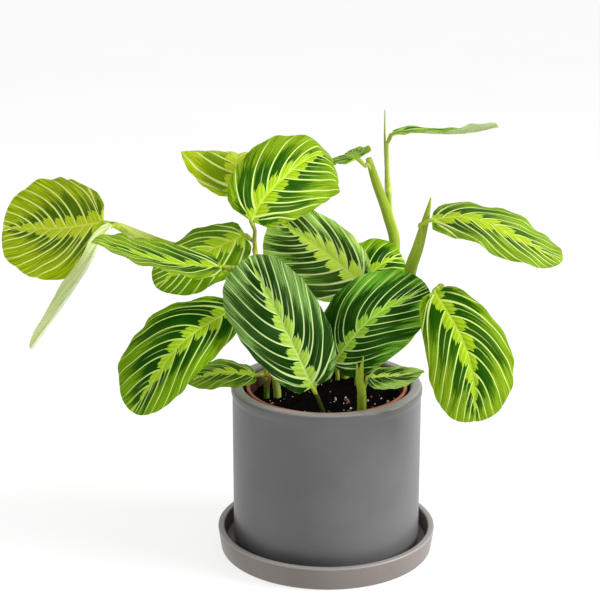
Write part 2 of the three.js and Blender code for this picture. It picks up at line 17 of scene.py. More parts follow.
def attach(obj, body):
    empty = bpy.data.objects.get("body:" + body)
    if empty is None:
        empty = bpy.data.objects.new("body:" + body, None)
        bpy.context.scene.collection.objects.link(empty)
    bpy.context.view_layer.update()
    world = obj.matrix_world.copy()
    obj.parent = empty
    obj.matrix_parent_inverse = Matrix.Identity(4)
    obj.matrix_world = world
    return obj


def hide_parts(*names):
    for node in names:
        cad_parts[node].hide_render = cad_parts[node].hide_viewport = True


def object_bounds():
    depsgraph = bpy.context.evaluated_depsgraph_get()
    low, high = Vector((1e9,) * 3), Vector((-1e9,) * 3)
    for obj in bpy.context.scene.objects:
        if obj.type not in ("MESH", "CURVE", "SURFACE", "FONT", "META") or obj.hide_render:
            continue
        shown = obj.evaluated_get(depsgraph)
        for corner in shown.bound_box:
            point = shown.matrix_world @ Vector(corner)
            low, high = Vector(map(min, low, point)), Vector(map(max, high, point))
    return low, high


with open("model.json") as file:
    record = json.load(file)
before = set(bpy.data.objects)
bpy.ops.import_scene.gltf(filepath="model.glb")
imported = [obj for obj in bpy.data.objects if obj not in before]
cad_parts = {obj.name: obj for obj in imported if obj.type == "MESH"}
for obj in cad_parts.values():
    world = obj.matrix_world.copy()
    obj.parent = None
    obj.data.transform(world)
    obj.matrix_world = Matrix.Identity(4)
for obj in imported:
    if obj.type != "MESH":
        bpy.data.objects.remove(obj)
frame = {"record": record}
cad_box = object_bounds()

MM = 0.001

# Camera: the photograph's view, in millimetres and pixels
CAMERA_PLACE = (-20, -1207, 564.5)
CAMERA_PITCH = 16.96
CAMERA_FOCAL_PX = 1710
CAMERA_CLIP = (0.05, 50)
PHOTO_SIDE = 600
SENSOR_MM = 36

# Stage and light
FLOOR_HALF = 6000
FLOOR_GLOW = 0.74
FLOOR_TONES = ("#949494", "#979797")
WORLD_STRENGTH = 0.7
KEY = dict(place=(1400, -330, 820), target=(0, 0, 150), size=1000, power=32)
FILL = dict(place=(-1100, -700, 700), target=(0, 0, 180), size=900, power=1.5)

# Pots, as in the part's source
SADDLE_GAP = 0.3
SAUCER = Facts(foot=78, rim=82.7, height=18.3, floor=5, wall=5, foot_round=2.5, rim_round=1, lip_round=1.5,
               floor_round=3, floor_edge=0.4)
POT = Facts(foot=64, wall=70.7, rim=71.6, inner=62.5, height=126.6, floor=7, drain=7, band=9, band_edge=4,
            lip_round=3, floor_round=7)
WALL_RINGS = (30, 60, 90)
BAND_STEPS = 6
NURSERY = Facts(lip=60.2, lip_height=6, lip_step=2, height=117, foot=45, wall=1.3, foot_round=1.5,
                lip_edge=(0.4, 0.5), lip_round=0.8, mouth=0.8, mouth_round=0.5)
POT_FOOT_Z = SAUCER.floor + SADDLE_GAP
NURSERY_FOOT_Z = POT_FOOT_Z + POT.floor + SADDLE_GAP
NURSERY_RIM_Z = NURSERY_FOOT_Z + NURSERY.height
NURSERY_LIP_RUN = NURSERY.foot + NURSERY.height + 5.5
ROUND_SIDES = 160

# Soil: its hills, its crumbs as sizes and heights, and the grains and chips on it
SOIL_Z = 121
SOIL_RINGS = 64
SOIL_SIDES = 180
HILL_SCALE = 0.045
HILL_SEED = 3
CRUMBS = ((5.5, 0.55), (2.6, 0.5), (1.2, 0.28))
CRUMB_STEEPNESS = 1.3
CRUMB_MEAN = 0.75
CRUMB_HEIGHT = 1.7
CRUMB_SEED = 9
BITS_SEED = 41
BITS_EDGE = 5
LUMP_SCALE = 1.7
PERLITE = Facts(count=56, least=0.3, more=0.75, above=0.35)
CHIPS = Facts(count=9, least=1.2, more=1.6, above=0.15, width=0.35, height=0.22)
BIG_CHIP = (15, -12, 4.2)

# Leaf blades
BLADE = 0.62
MIDRIB = 1.4
MIDRIB_SPREAD = 1.3
RIM_THICKNESS = 0.34
RIM_WIDTH = 4
JOINT = Facts(length=6, radius=1.5, inside=3, inner_radius=0.9, gap=0.4, swell=1.08, sides=16)
WAVES = 2.3
SIDE_PHASE = 0.37
VEIN_SWEEP = 0.48
VEIN_CLOSE = 3
VEIN_LATE = 0.58
VEIN_RISE = 2.7
TIP_TAPER = 2.2
LOBE_AT = 0.07
FRAME_STEPS = 48
FINE_STEPS = 40
FULL_HALF = 32
MARK_POWER = 0.6
TEETH = 3.3
COLUMNS_PER_LANE = 8
BASE_COLUMNS = 12
ROWS = (0, 0.02, 0.045, 0.08, 0.12, 0.165, 0.215, 0.27, 0.33, 0.39, 0.45, 0.51, 0.57, 0.63, 0.69, 0.75, 0.81,
        0.86, 0.905, 0.945, 0.975, 1)
LANES_A_SIDE = 20
LANES_A_LEAF = 40
PUFF = 0.75
PUFF_END = 1.05
GROOVE = 0.35
GROOVE_SPREAD = 1.4
VEIN_DIP = 0.1
RUFFLE = 0.9
FLUTTERS = 5.5
SCALLOP = 0.016

# Stems
STEM_FOOT_Z = 100
STEM_OUT_Z = 122
STEM_SIDES = 18
STEM_STEPS = 8
STEM_SIDE = (1, 0.2, 0.1)
STALK_RADIUS = 1.4
LEAST_RADIUS = 0.15
STRAIGHT_END = 3
END_BULGE = 0.3
FLATNESS = dict(stem=1, sheath=0.65, bud=0.6)
SEAM = Facts(height=0.12, angle=4.4, width=0.35)

# Edges sharper than this many degrees stay hard
SHARP = dict(leaf=60, stem=50, pot=40, soil=80, grain=40, chip=35)

# Surfaces: gloss levels, then tones in the order in which their materials take them
LEAF_GLOSS = 0.03
STEM_GLOSS = 0.1
GLAZE_GLOSS = 0.5
PLASTIC_GLOSS = 0.3
SOIL_GLOSS = 0.03
GRAIN_GLOSS = 0.5
JOINT_TONES = ("#a6be3a", "#96983a", "#a9c440")
POT_TONES = ("#555454", "#5e5e5f", "#3a3a3a")
SAUCER_TONES = ("#6e6762", "#7b736d", "#4c4744")
# Painted highlight: a paler tone on the tops of the pot and saucer rims, where they catch the light
RIM_HIGHLIGHT_TONE = "#a39d9a"
PLASTIC_TONES = ("#a4502e", "#bb6a46", "#3a2a22", "#150e0a")
SOIL_TONES = ("#030202", "#0c0907", "#0a0706", "#3c2c22")
PERLITE_TONES = ("#a79f94", "#f1ede4")
BARK_TONES = ("#5e2c1a", "#b4694a")

LEAVES = {
    # far left, seen almost face on
    "leaf_01": dict(
        midrib=((-163.8, -1.4, 256), (-204, 34, 242), (-249, 68, 234)),
        upper=(-0.61, -0.64, 0.43), joint=(1, 0.15, -0.2), half=(42, 39), peak=(0.6, 0.46), full=(1.45, 1.9),
        lobe=0.05, palette="olive", veins=9, bold=1.15),
    # folded, drooping in front of the first
    "leaf_02": dict(
        midrib=((-156, -6, 255), (-164, -18, 246), (-173, -27, 230), (-190, -34, 205), (-214, -40, 172)),
        upper=(-0.75, 0.6, 0.3), joint=(0.75, 0.45, -0.5), half=(11.5, 8), fold=45, curl=14, wave=1,
        palette="pale", veins=6),
    # left, nearly level, seen from its edge
    "leaf_03": dict(
        midrib=((-75, -42, 234), (-114, -64, 244), (-162, -80, 263)),
        upper=(0.2, -0.05, 1), joint=(0.86, 0.45, -0.25), half=(34, 27), curl=(5, 10), wave=1.2,
        blunt=(0.8, 0.75), palette="green"),
    # left, behind the third
    "leaf_04": dict(
        midrib=((-60, 5, 245), (-91, -6, 233), (-124, -24, 214)),
        upper=(-0.2, -0.75, 0.6), joint=(0.7, -0.5, -0.5), half=(23, 25), fold=5, palette="lime", veins=7,
        bold=1.5),
    # lower left, drooping outside the pot
    "leaf_05": dict(
        midrib=((-67, -34, 201), (-104, -66, 184), (-140, -62, 132)),
        upper=(-0.3, -0.9, 0.4), joint=(0.75, 0.6, -0.3), half=(33, 24), curl=(30, 60), peak=(0.66, 0.46),
        full=2, palette="rich", bold=0.95),
    # small, over the left of the rim
    "leaf_06": dict(
        midrib=((-53, -14, 143), (-77, -22, 148), (-104, -34, 145)),
        upper=(-0.1, -0.45, 0.85), joint=(0.93, 0.3, -0.15), half=(15, 15), wave=1, palette="light", veins=6,
        bold=0.9),
    # top centre
    "leaf_07": dict(
        midrib=((-55, -16, 261), (-45, -4, 276), (-22, 26, 292), (-5, 48, 296), (5, 62, 287)),
        upper=(0.45, -0.59, 0.66), joint=(0.25, 0.3, -0.9), half=(34, 32), curl=(26, 36), peak=(0.7, 0.4),
        blunt=(0.45, 1.1), palette="green", bold=1.1),
    # top left, behind the seventh
    "leaf_08": dict(
        midrib=((-67, 25, 269), (-68, 50, 287), (-67, 72, 291), (-66, 91, 283)),
        upper=(-0.04, -0.5, 0.87), joint=(0.7, 0.3, -0.6), half=(26, 43), curl=(12, 10), wave=1,
        peak=(0.46, 0.67), full=(2.6, 1.5), palette="lemon", veins=6, bold=1.3),
    # centre, behind the front leaves
    "leaf_09": dict(
        midrib=((26, 8, 206), (-8, 28, 231), (-40, 46, 247)),
        upper=(-0.17, -0.86, 0.41), joint=(0.55, -0.2, -0.8), half=(23, 38), peak=(0.46, 0.64), blunt=0.45,
        palette="mid", bold=1.1),
    # right of centre, behind the ninth
    "leaf_10": dict(
        midrib=((10, 28, 187), (43, 44, 212), (59, 58, 213)),
        upper=(0.2, -0.75, 0.6), joint=(-0.5, -0.2, -0.85), half=(25, 25), palette="rich", veins=6),
    # front centre, the largest
    "leaf_11": dict(
        midrib=((-11, -50, 146), (-33, -64, 200), (-56, -52, 244)),
        upper=(0.1, -1, 0.2), joint=(0.36, 0.4, -0.85), half=(30, 33), fold=10, curl=(28, 32),
        peak=(0.42, 0.7), full=(2.6, 1.7), palette="dark", bold=1.1),
    # front, right of centre
    "leaf_12": dict(
        midrib=((3, -34, 158), (31, -46, 197), (72, -26, 214)),
        upper=(-0.1, -1, 0.3), joint=(-0.5, 0.4, -0.77), half=(30, 30), fold=10, curl=30, peak=0.5,
        blunt=0.6, palette="deep", bold=0.85),
    # right, drooping in front
    "leaf_13": dict(
        midrib=((75, -46, 217), (93, -70, 190), (102, -74, 160), (105, -66, 126)),
        upper=(0.15, -1, 0.3), joint=(0.5, 0.8, 0.2), half=(30, 32), peak=(0.6, 0.64), full=1.8,
        palette="green"),
    # upper right, nearly level
    "leaf_14": dict(
        midrib=((74, -20, 263), (97, -24, 266), (122, -32, 260), (164, -48, 239)),
        upper=(0, -0.35, 0.93), joint=(-0.85, 0.1, -0.5), half=(23, 29), fold=-6, curl=12, peak=0.5,
        palette="light", bold=1.1),
    # top right, seen from its edge
    "leaf_15": dict(
        midrib=((49, 64, 308), (64, 60, 311), (92, 50, 312), (110, 43, 315), (126, 36, 320)),
        upper=(-0.15, 0.14, 0.98), joint=(-0.35, 0.1, -0.93), half=(22, 11), fold=18, curl=20, twist=-22,
        wave=1, palette="young", veins=6),
    # small young leaf at the top of the broad sheath
    "leaf_16": dict(
        midrib=((23, 62, 290), (19, 78, 289), (13, 95, 285)),
        upper=(-0.35, -0.05, 0.93), joint=(0.7, 0.1, -0.7), half=(15, 17), fold=15, wave=1, lobe=0.2,
        palette="young", veins=5),
    # small, over the right of the rim
    "leaf_17": dict(
        midrib=((29, -46, 153), (50, -50, 155.5), (69, -51, 159)),
        upper=(0, -0.5, 0.85), joint=(-0.15, 0.6, -0.8), half=(13, 8), curl=10, wave=0.5, peak=0.38,
        blunt=0.9, palette="mid", veins=5, bold=0.5),
}

# What a leaf has unless its own facts say otherwise
PLAIN_LEAF = dict(fold=8, curl=28, peak=0.46, blunt=0.5, full=2.6, lobe=0.035, wave=2, twist=0, veins=8,
                  bold=1)


def rooted(x, y, radius):
    """A stem's first two points: its foot in the soil, and where it comes out."""
    return (x, y, STEM_FOOT_Z, radius), (x, y, STEM_OUT_Z, radius)


# Stems, sheaths, a bud, nodes and the leaves' stalks, as points (x, y, z, radius)
SHOOTS = {
    "shoot_left": [
        ("stem", [*rooted(-37, 0, 3), (-38, -1, 132, 2.8), (-42, -6, 167, 2.4), (-49, -8, 214, 2.2),
          (-53, -8, 238, 2)]),
        ("leaf_07", [(-52, -8, 232, 1.6), (-53, -9, 244, 1.6)]),
        ("leaf_04", [(-51, -8, 226, 1.4), (-53, -2, 236, 1.4)]),
        ("leaf_03", [(-48, -8, 206, 1.5), (-60, -24, 221, 1.4)]),
        ("leaf_05", [(-44, -7, 178, 1.6), (-54, -20, 193, 1.4)]),
        ("stem", [(-49, -8, 216, 1.8), (-66, 10, 224, 1.9), (-94, 18, 229, 2), (-118, 18, 234.5, 2.4),
          (-136, 11, 242, 3.6), (-145, 5, 247.5, 3.6), (-151, 0, 252, 3), (-156, -3, 255, 2)]),
        ("leaf_01", [(-142, 8, 245, 1.6), (-150, 3, 250, 1.5)]),
        ("leaf_02", [(-141, 8, 245, 1.6), (-145, 3, 248, 1.5)]),
    ],
    "shoot_back": [
        ("sheath", [*rooted(15, 42, 2.8), (16, 43, 132, 2.8), (42, 62, 179, 3.4), (53, 67, 217, 4.2),
          (47, 67, 245, 4), (38, 66, 270, 3.4), (32, 65, 289, 2.4)]),
        ("leaf_16", [(34, 65, 280, 1.4), (31, 63, 285, 1.3)]),
        ("leaf_15", [(50, 67, 230, 2), (49, 69, 252, 1.9), (47.5, 69, 264, 2.6), (46.5, 68, 276, 2),
          (46, 67, 288, 1.7)]),
        ("node", [(48.3, 69, 260, 2.1), (47.5, 69, 264, 2.8), (47.2, 68.8, 268, 2.3)]),
        ("stem", [(46, 67.5, 270, 1), (44.3, 67, 300, 0.8), (44, 67, 326, 0.35)]),
    ],
    "shoot_right": [
        ("sheath", [*rooted(24, 27, 2.4), (26, 27, 128, 2.4), (38, 22, 138, 2.3), (61, 10, 163, 2.9),
          (66, 0, 184, 2.3), (60, -8, 216, 4.4), (66, -10, 241, 4), (71, -11, 262, 2.4),
          (74, -12, 277, 0.5)]),
        ("leaf_13", [(65, 1, 180, 1.8), (80, -14, 205, 1.5), (82, -31, 216, 1.4)]),
        ("leaf_14", [(65, -10, 240, 1.5), (67, -16, 253, 1.4)]),
        ("node", [(64.6, 3.5, 178, 2.7), (66, 0, 184, 3.2), (65.8, -1.5, 189, 2.8)]),
    ],
    "shoot_small_right": [
        ("stem", [*rooted(25, -36, 3.4), (25, -37, 128, 3.4), (24.7, -40, 139, 3.3), (23.6, -43, 148, 2.8),
          (24, -48, 159, 1.7), (25.3, -52, 170, 0.4)]),
        ("bud", [(24.6, -40.5, 138, 3), (22.6, -43.5, 149, 2.4), (21.6, -46, 157, 1.5),
          (20.6, -48, 164, 0.3)]),
        ("leaf_17", [(25.5, -38, 134, 2), (26, -40, 141, 1.6)]),
    ],
    "shoot_small_left": [
        ("stem", [*rooted(-45, -2, 2.2), (-45, -3, 130, 2), (-47, -5, 138, 1.4), (-50, -6, 143, 0.4)]),
        ("leaf_06", [(-45, -3, 128, 1.5), (-43, -8, 137, 1.3)]),
    ],
    "stalk_front": [("leaf_11", [*rooted(-3, -40, 1.6), (-4.5, -42, 128, 1.5)])],
    "stalk_centre": [("leaf_12", [*rooted(-9, 18, 1.6), (-10, 16, 130, 1.5), (-9, -4, 142, 1.5),
        (-4, -22, 149, 1.4)])],
    "stalk_behind": [("leaf_09", [*rooted(9, 37, 1.6), (10, 36, 134, 1.5), (25, 22, 172, 1.5),
        (31, 10, 193, 1.4)])],
    "stalk_inner": [("leaf_10", [*rooted(-6, 38, 1.6), (-5, 38, 134, 1.5), (2, 32, 164, 1.5)])],
    "stalk_top_left": [("leaf_08", [*rooted(-46, 20, 1.8), (-46, 21, 132, 1.7), (-45, 42, 182, 1.5),
        (-43, 54, 232, 1.5), (-50, 38, 256, 1.4)])],
}

# Leaf colours: feather, midrib and veinlets, side veins, patches, field, streaks, margin, underside
Tones = namedtuple("Tones", "lime rib vein dark field streak margin under")
BASE_OF = {"upper": "field", "under": "under"}
PALETTES = {
    "green": ("#94b810", "#b8d440", "#cce280", "#124600", "#487404", "#8ca822", "#70900c", "#95ae5a"),
    "rich": ("#98c010", "#bcd84c", "#cce27c", "#023a02", "#2e6402", "#84a818", "#6a9206", "#8ba656"),
    "olive": ("#b6ca1c", "#d4e250", "#ecf890", "#3a5e00", "#6c8a02", "#bcd01c", "#92aa04", "#a9bf5e"),
    "light": ("#a4c41a", "#c4d84c", "#d0e08c", "#2c5210", "#50760e", "#94b03a", "#6e9212", "#a9bf5e"),
    "lime": ("#aacf20", "#c6de44", "#dcee90", "#4e7c06", "#527e04", "#789e10", "#5c8402", "#a9bf5e"),
    "lemon": ("#c0d81c", "#d8e658", "#e8f498", "#6c9006", "#98b20a", "#c4d628", "#aec410", "#b2c464"),
    # The dark palette's grey-green margin tone is partly the leaf's own paler margin and partly a painted
    # sheen of the satin surface
    "dark": ("#a0c438", "#bcd86c", "#c8de92", "#062e00", "#2c5e12", "#98b668", "#648c3e", "#7f966c"),
    "deep": ("#8cb824", "#b4d45c", "#cce290", "#042e00", "#226006", "#86b440", "#58981e", "#7a9468"),
    # Painted light: the mid palette's tones are raised to make up for the shade that the seventh leaf casts
    # on the ninth
    "mid": ("#ccee38", "#dff474", "#e6f8aa", "#103802", "#62a022", "#ccec80", "#aad45c", "#88a060"),
    "pale": ("#cfe07c", "#dfeaa6", "#f0f6d8", "#7da030", "#a0bb44", "#cddb8c", "#8cab34", "#c7d48e"),
    "young": ("#9cc42c", "#bcd85c", "#d0e498", "#2c6410", "#649c14", "#9ebc38", "#88b41e", "#c3cda4"),
}

# How far out the dark patches reach, as shares of the way to the rim: the shortest and the longest
PATCH_USUAL = (0.33, 0.62)
PATCH_ENDS = {"dark": (0.6, 1.0), "deep": (0.55, 0.98), "rich": (0.42, 0.85), "mid": (0.46, 0.88),
              "green": (0.38, 0.7), "light": (0.3, 0.62), "lime": (0.3, 0.6), "lemon": (0.3, 0.6),
              "olive": (0.3, 0.62)}

# Stem colours: main, second, foot, and the end by the leaf
STEM_COLOURS = {
    "sheath": ("#9cb038", "#829e26", "#8c8f34", "#c0c04a"),
    "long_sheath": ("#c0cc66", "#a0b83c", "#8c9a34", "#b98a3c"),
    "stem_node": ("#c6d25a", "#b2c048", "#b2c048", "#b2c048"),
    "lime_stalk": ("#b9c862", "#98ac40", "#a0b83c", "#b0853a"),
    "young_shoot": ("#3c6a1c", "#7c9c3c", "#8a8f34", "#a9b860"),
    "leaf_stalk": ("#9cb03a", "#84922e", "#8f8434", "#a89a3c"),
    "brown_stalk": ("#a87a30", "#8c7c30", "#8c6c34", "#a88034"),
    "olive_stalk": ("#4f5c1c", "#3c4a14", "#4c441c", "#66742a"),
}

# The stem and stalk colours of each shoot
SHOOT_USUAL = ("sheath", "leaf_stalk")
SHOOT_LOOKS = {
    "shoot_small_left": ("young_shoot", "brown_stalk"),
    "shoot_back": ("sheath", "lime_stalk"),
    "shoot_left": ("long_sheath", "leaf_stalk"),
    "stalk_front": ("olive_stalk", "olive_stalk"),
    "stalk_inner": ("brown_stalk", "brown_stalk"),
}


# Curves and frames


def unit(vectors):
    return vectors / np.linalg.norm(vectors, axis=-1, keepdims=True)


def square_to(vector, axis):
    return unit(vector - vector @ axis * axis)


def pick(fact, side):
    """A fact of one side, right (1) or left (-1), where a pair has a value for each."""
    return fact[0 if side > 0 else 1] if isinstance(fact, tuple) else fact


def circle(radius, count, turn=0):
    """The x and y of points round a circle; turn shifts them by a share of a step."""
    angles = [2 * math.pi * (j + turn) / count for j in range(count)]
    return [(radius * math.cos(a), radius * math.sin(a)) for a in angles]


def curve_points(points, steps):
    """Points on the uniform Catmull-Rom curve through points, in equal steps of its parameter."""
    known = np.asarray(points, float)
    known = np.vstack([2 * known[0] - known[1], known, 2 * known[-1] - known[-2]])
    place = np.linspace(0, len(points) - 1, steps + 1)
    span = np.minimum(place.astype(int), len(points) - 2)
    t = (place - span)[:, None]
    a, b, c, d = (known[span + i] for i in range(4))
    return 0.5 * (2 * b + (c - a) * t + (2 * a - 5 * b + 4 * c - d) * t**2 + (3 * b - a - 3 * c + d) * t**3)


def run_along(points):
    """The length of a line up to each of its points."""
    return np.concatenate([[0], np.cumsum(np.linalg.norm(np.diff(points, axis=0), axis=1))])


def even_points(points, steps):
    """The same curve in steps of equal length, and its length."""
    fine = curve_points(points, FINE_STEPS * (len(points) - 1))
    run = run_along(fine)
    places = np.linspace(0, run[-1], steps + 1)
    return np.stack([np.interp(places, run, fine[:, i]) for i in range(3)], 1), run[-1]


# Collecting a mesh


class Body:
    """Points and faces of one piece in millimetres, with three numbers at each corner for its materials."""

    def __init__(self):
        self.points = []
        self.faces = []
        self.slots = []
        self.values = {"lane": [], "place": [], "chance": []}

    def add_points(self, points):
        start = len(self.points)
        self.points.extend(tuple(p) for p in points)
        return start

    def add_face(self, corners, slot=0, lane=(), place=(), chance=(0, 0, 0)):
        """One face; lane and place hold an entry a corner, and corners that fall together are dropped."""
        kept = [i for i, c in enumerate(corners) if c != corners[i - 1]]
        if len(kept) < 3:
            return
        self.faces.append([corners[i] for i in kept])
        self.slots.append(slot)
        self.values["lane"].extend(lane[i] if len(lane) else (0, 0, 0) for i in kept)
        self.values["place"].extend(place[i] if len(place) else (0, 0, 0) for i in kept)
        self.values["chance"].extend(chance for _ in kept)

    def add_ring(self, points):
        return self.add_points(points), len(points)

    def add_rings(self, rings, sides, slot=0, lane=None, place=None, chance=(0, 0, 0), flip=False):
        """Faces between rings of all or one point each, as add_ring gives them.

        lane and place work out a corner's entry from the numbers of its ring and its side.
        """
        for i in range(len(rings) - 1):
            for j in range(sides):
                spots = [(i, j), (i, j + 1), (i + 1, j + 1), (i + 1, j)]
                if flip:
                    spots[1], spots[3] = spots[3], spots[1]
                corners = [rings[a][0] + b % rings[a][1] for a, b in spots]
                lanes, places = ([entry(*spot) for spot in spots] if entry else () for entry in (lane, place))
                self.add_face(corners, slot, lanes, places, chance)

    def piece(self, name, materials, sharp):
        mesh = bpy.data.meshes.new(name)
        inside = np.clip(np.asarray(self.points) * MM, *cad_box)
        mesh.from_pydata(inside.tolist(), [], self.faces)
        for key, numbers in self.values.items():
            layer = mesh.attributes.new(key, "FLOAT_VECTOR", "CORNER")
            layer.data.foreach_set("vector", np.asarray(numbers, np.float32).ravel())
        for material in materials:
            mesh.materials.append(material)
        mesh.polygons.foreach_set("material_index", self.slots)
        mesh.polygons.foreach_set("use_smooth", [True] * len(self.faces))
        mesh.set_sharp_from_angle(angle=math.radians(SHARP[sharp]))
        mesh.validate()
        mesh.update()
        return show(name, mesh)

    def stand_for(self, node, materials, sharp):
        """The fine piece stands for its node, which it hides, and moves with the whole object."""
        thing = self.piece(f"{node}_fine", materials, sharp)
        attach(thing, "root")
        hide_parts(node)
        next(s["material_slot"] for s in frame["record"]["subparts"] if s["node"] == node)


def show(name, data):
    thing = bpy.data.objects.new(name, data)
    bpy.context.scene.collection.objects.link(thing)
    return thing


# Leaves


class Blade:
    """The surface of one leaf blade, as a formula."""

    def __init__(self, **facts):
        for key, value in {**PLAIN_LEAF, **facts}.items():
            setattr(self, key, value)
        self.spine, self.length = even_points(self.midrib, FRAME_STEPS)
        ahead = np.minimum(np.arange(FRAME_STEPS + 1) + 1, FRAME_STEPS)
        behind = np.maximum(np.arange(FRAME_STEPS + 1) - 1, 0)
        self.tangents = unit(self.spine[ahead] - self.spine[behind])
        self.carry_frames()

    def carry_frames(self):
        """The upper direction is set at mid length and carried to both ends without turning."""
        middle = FRAME_STEPS // 2
        ups = np.zeros_like(self.tangents)
        ups[middle] = square_to(np.asarray(self.upper, float), self.tangents[middle])
        for end, way in ((FRAME_STEPS, 1), (0, -1)):
            for i in range(middle + way, end + way, way):
                ups[i] = square_to(ups[i - way], self.tangents[i])
        angle = np.radians(self.twist) * (np.linspace(0, 1, FRAME_STEPS + 1) - 0.5)[:, None]
        self.ups = ups * np.cos(angle) + np.cross(self.tangents, ups) * np.sin(angle)

    def surface(self, x, q, side):
        """Points at x along the blade and q mm out from the midrib, and the way their face looks."""
        place = np.clip(x, 0, 1) * FRAME_STEPS
        i = np.minimum(place.astype(int), FRAME_STEPS - 1)
        t = (place - i)[..., None]
        tangent, up, centre = (a[i] * (1 - t) + a[i + 1] * t for a in (self.tangents, self.ups, self.spine))
        tangent, up = unit(tangent), unit(up)
        right = np.cross(tangent, up)
        centre = centre + tangent * (np.minimum(x, 0) * self.length)[..., None]
        half = pick(self.half, side)
        fold = math.radians(pick(self.fold, side))
        bend = math.radians(pick(self.curl, side)) / half
        slope = fold - bend * q
        across = (math.sin(fold) - np.sin(slope)) / bend
        rise = (np.cos(slope) - math.cos(fold)) / bend
        turns = WAVES * x + pick((SIDE_PHASE, 0), side)
        ripple = self.wave * (q / half) ** 2 * np.sin(2 * np.pi * turns)
        points = centre + right * (side * across)[..., None] + up * (rise + ripple)[..., None]
        return points, up * np.cos(slope)[..., None] - right * (side * np.sin(slope))[..., None]

    def margin(self, e, side):
        """Where the margin is: a rounded base with small lobes, widest at the peak, then the tip."""
        peak = pick(self.peak, side)
        back = e / LOBE_AT
        low = np.maximum(1 - ((peak - np.minimum(e, peak)) / peak) ** pick(self.full, side), 0)
        high = np.maximum(1 - ((np.maximum(e, peak) - peak) / (1 - peak)) ** TIP_TAPER, 0)
        shape = np.where(e < peak, np.sqrt(low), high ** pick(self.blunt, side))
        return e - self.lobe * back * np.exp(1 - back), pick(self.half, side) * shape

    def on_vein(self, k, v, side):
        """x and q on the side vein k (-1 at the base, 1 at the tip), v of the way to the margin."""
        start = np.maximum(k, 0)
        tipward = 1 - (1 - start) ** VEIN_CLOSE * (1 - VEIN_SWEEP)
        x, q = self.margin(np.where(k < 0, VEIN_SWEEP * (1 + k), tipward), side)
        late = VEIN_LATE * np.minimum(1, 1 + k)
        return start + (x - start) * ((1 - late) * v + late * v**VEIN_RISE), v * q

    def joint_end(self, extra=0):
        return self.spine[0] + unit(np.asarray(self.joint, float)) * (JOINT.length + extra)

    def chance(self, number):
        """Two fixed random numbers for a lane, and how large the markings are on this leaf."""
        dice = random.Random(int(number))
        return dice.random(), dice.random(), self.bold * (max(self.half) / FULL_HALF) ** MARK_POWER


def vein_lanes(blade, side, dice):
    """All the columns of one side, and the numbers of those on its main veins, where lanes meet."""
    per_side = blade.veins * COLUMNS_PER_LANE
    columns = np.concatenate([np.linspace(-1, 0, BASE_COLUMNS + 1)[:-1], np.linspace(0, 1, per_side + 1)])
    first = BASE_COLUMNS + pick((2, COLUMNS_PER_LANE // 2 + 2), side)
    edges = [0, BASE_COLUMNS // 2]
    for i in range(blade.veins):
        edges.append(first + i * COLUMNS_PER_LANE + dice.choice((-1, 0, 0, 1)))
    edges = [e for e in edges if e < len(columns) - COLUMNS_PER_LANE // 2]
    return columns, edges + [len(columns) - 1]


def lane_widths(blade, columns, edges, side):
    """The distance between the veins on both sides of each lane, measured across them, at each row."""
    rows = np.asarray(ROWS)
    widths = []
    for low, high in zip(edges[:-1], edges[1:]):
        veins = (blade.on_vein(columns[i], rows, side) for i in (low, high))
        first, second = (blade.surface(x, q, side)[0] for x, q in veins)
        along = unit(np.gradient((first + second) / 2, axis=0) + 1e-9)
        gap = second - first
        across = gap - along * np.sum(gap * along, axis=1, keepdims=True)
        widths.append(np.linalg.norm(across, axis=1))
    return widths


def blade_sheets(blade, columns, edges, side, phase):
    """The points of both faces, and each one's x and q: pleats between veins, grooves and ruffles."""
    k = columns[:, None]
    v = np.asarray(ROWS)[None, :]
    x, q = blade.on_vein(k + 0 * v, v + 0 * k, side)
    fraction = np.zeros(len(columns))
    for low, high in zip(edges[:-1], edges[1:]):
        fraction[low:high] = (np.arange(low, high) - low) / (high - low)
    swell = np.sin(np.pi * fraction)[:, None]
    q = q * (1 + SCALLOP * swell * v**4)
    upper, out = blade.surface(x, q, side)
    size = pick(blade.half, side) / FULL_HALF
    puff = PUFF * size * swell * np.sin(np.pi * np.minimum(v * PUFF_END, 1)) ** 0.8
    groove = GROOVE * np.exp(-((q / GROOVE_SPREAD) ** 2)) + VEIN_DIP * (1 - swell)
    flutter = np.sin(2 * np.pi * (FLUTTERS * x + phase)) * v**4
    upper = upper + out * (puff - groove * np.minimum(q * 4, 1) + RUFFLE * size * flutter)[..., None]
    thick = RIM_THICKNESS + (BLADE - RIM_THICKNESS) * (1 - v**3)
    thick = thick + (MIDRIB - BLADE) * np.exp(-((q / MIDRIB_SPREAD) ** 2))
    return (upper, upper - out * thick[..., None]), x, q


def lane_part(i, edges, lane):
    """Where column i's strip starts and stops in its lane, and how much wider the whole lane is."""
    low, high = edges[lane:lane + 2]
    start, stop = ((n - low) / (high - low) for n in (i, i + 1))
    if lane == 0:
        return 0.5 + start / 2, 0.5 + stop / 2, 2
    if high == edges[-1]:
        return start / 2, stop / 2, 2
    return start, stop, 1


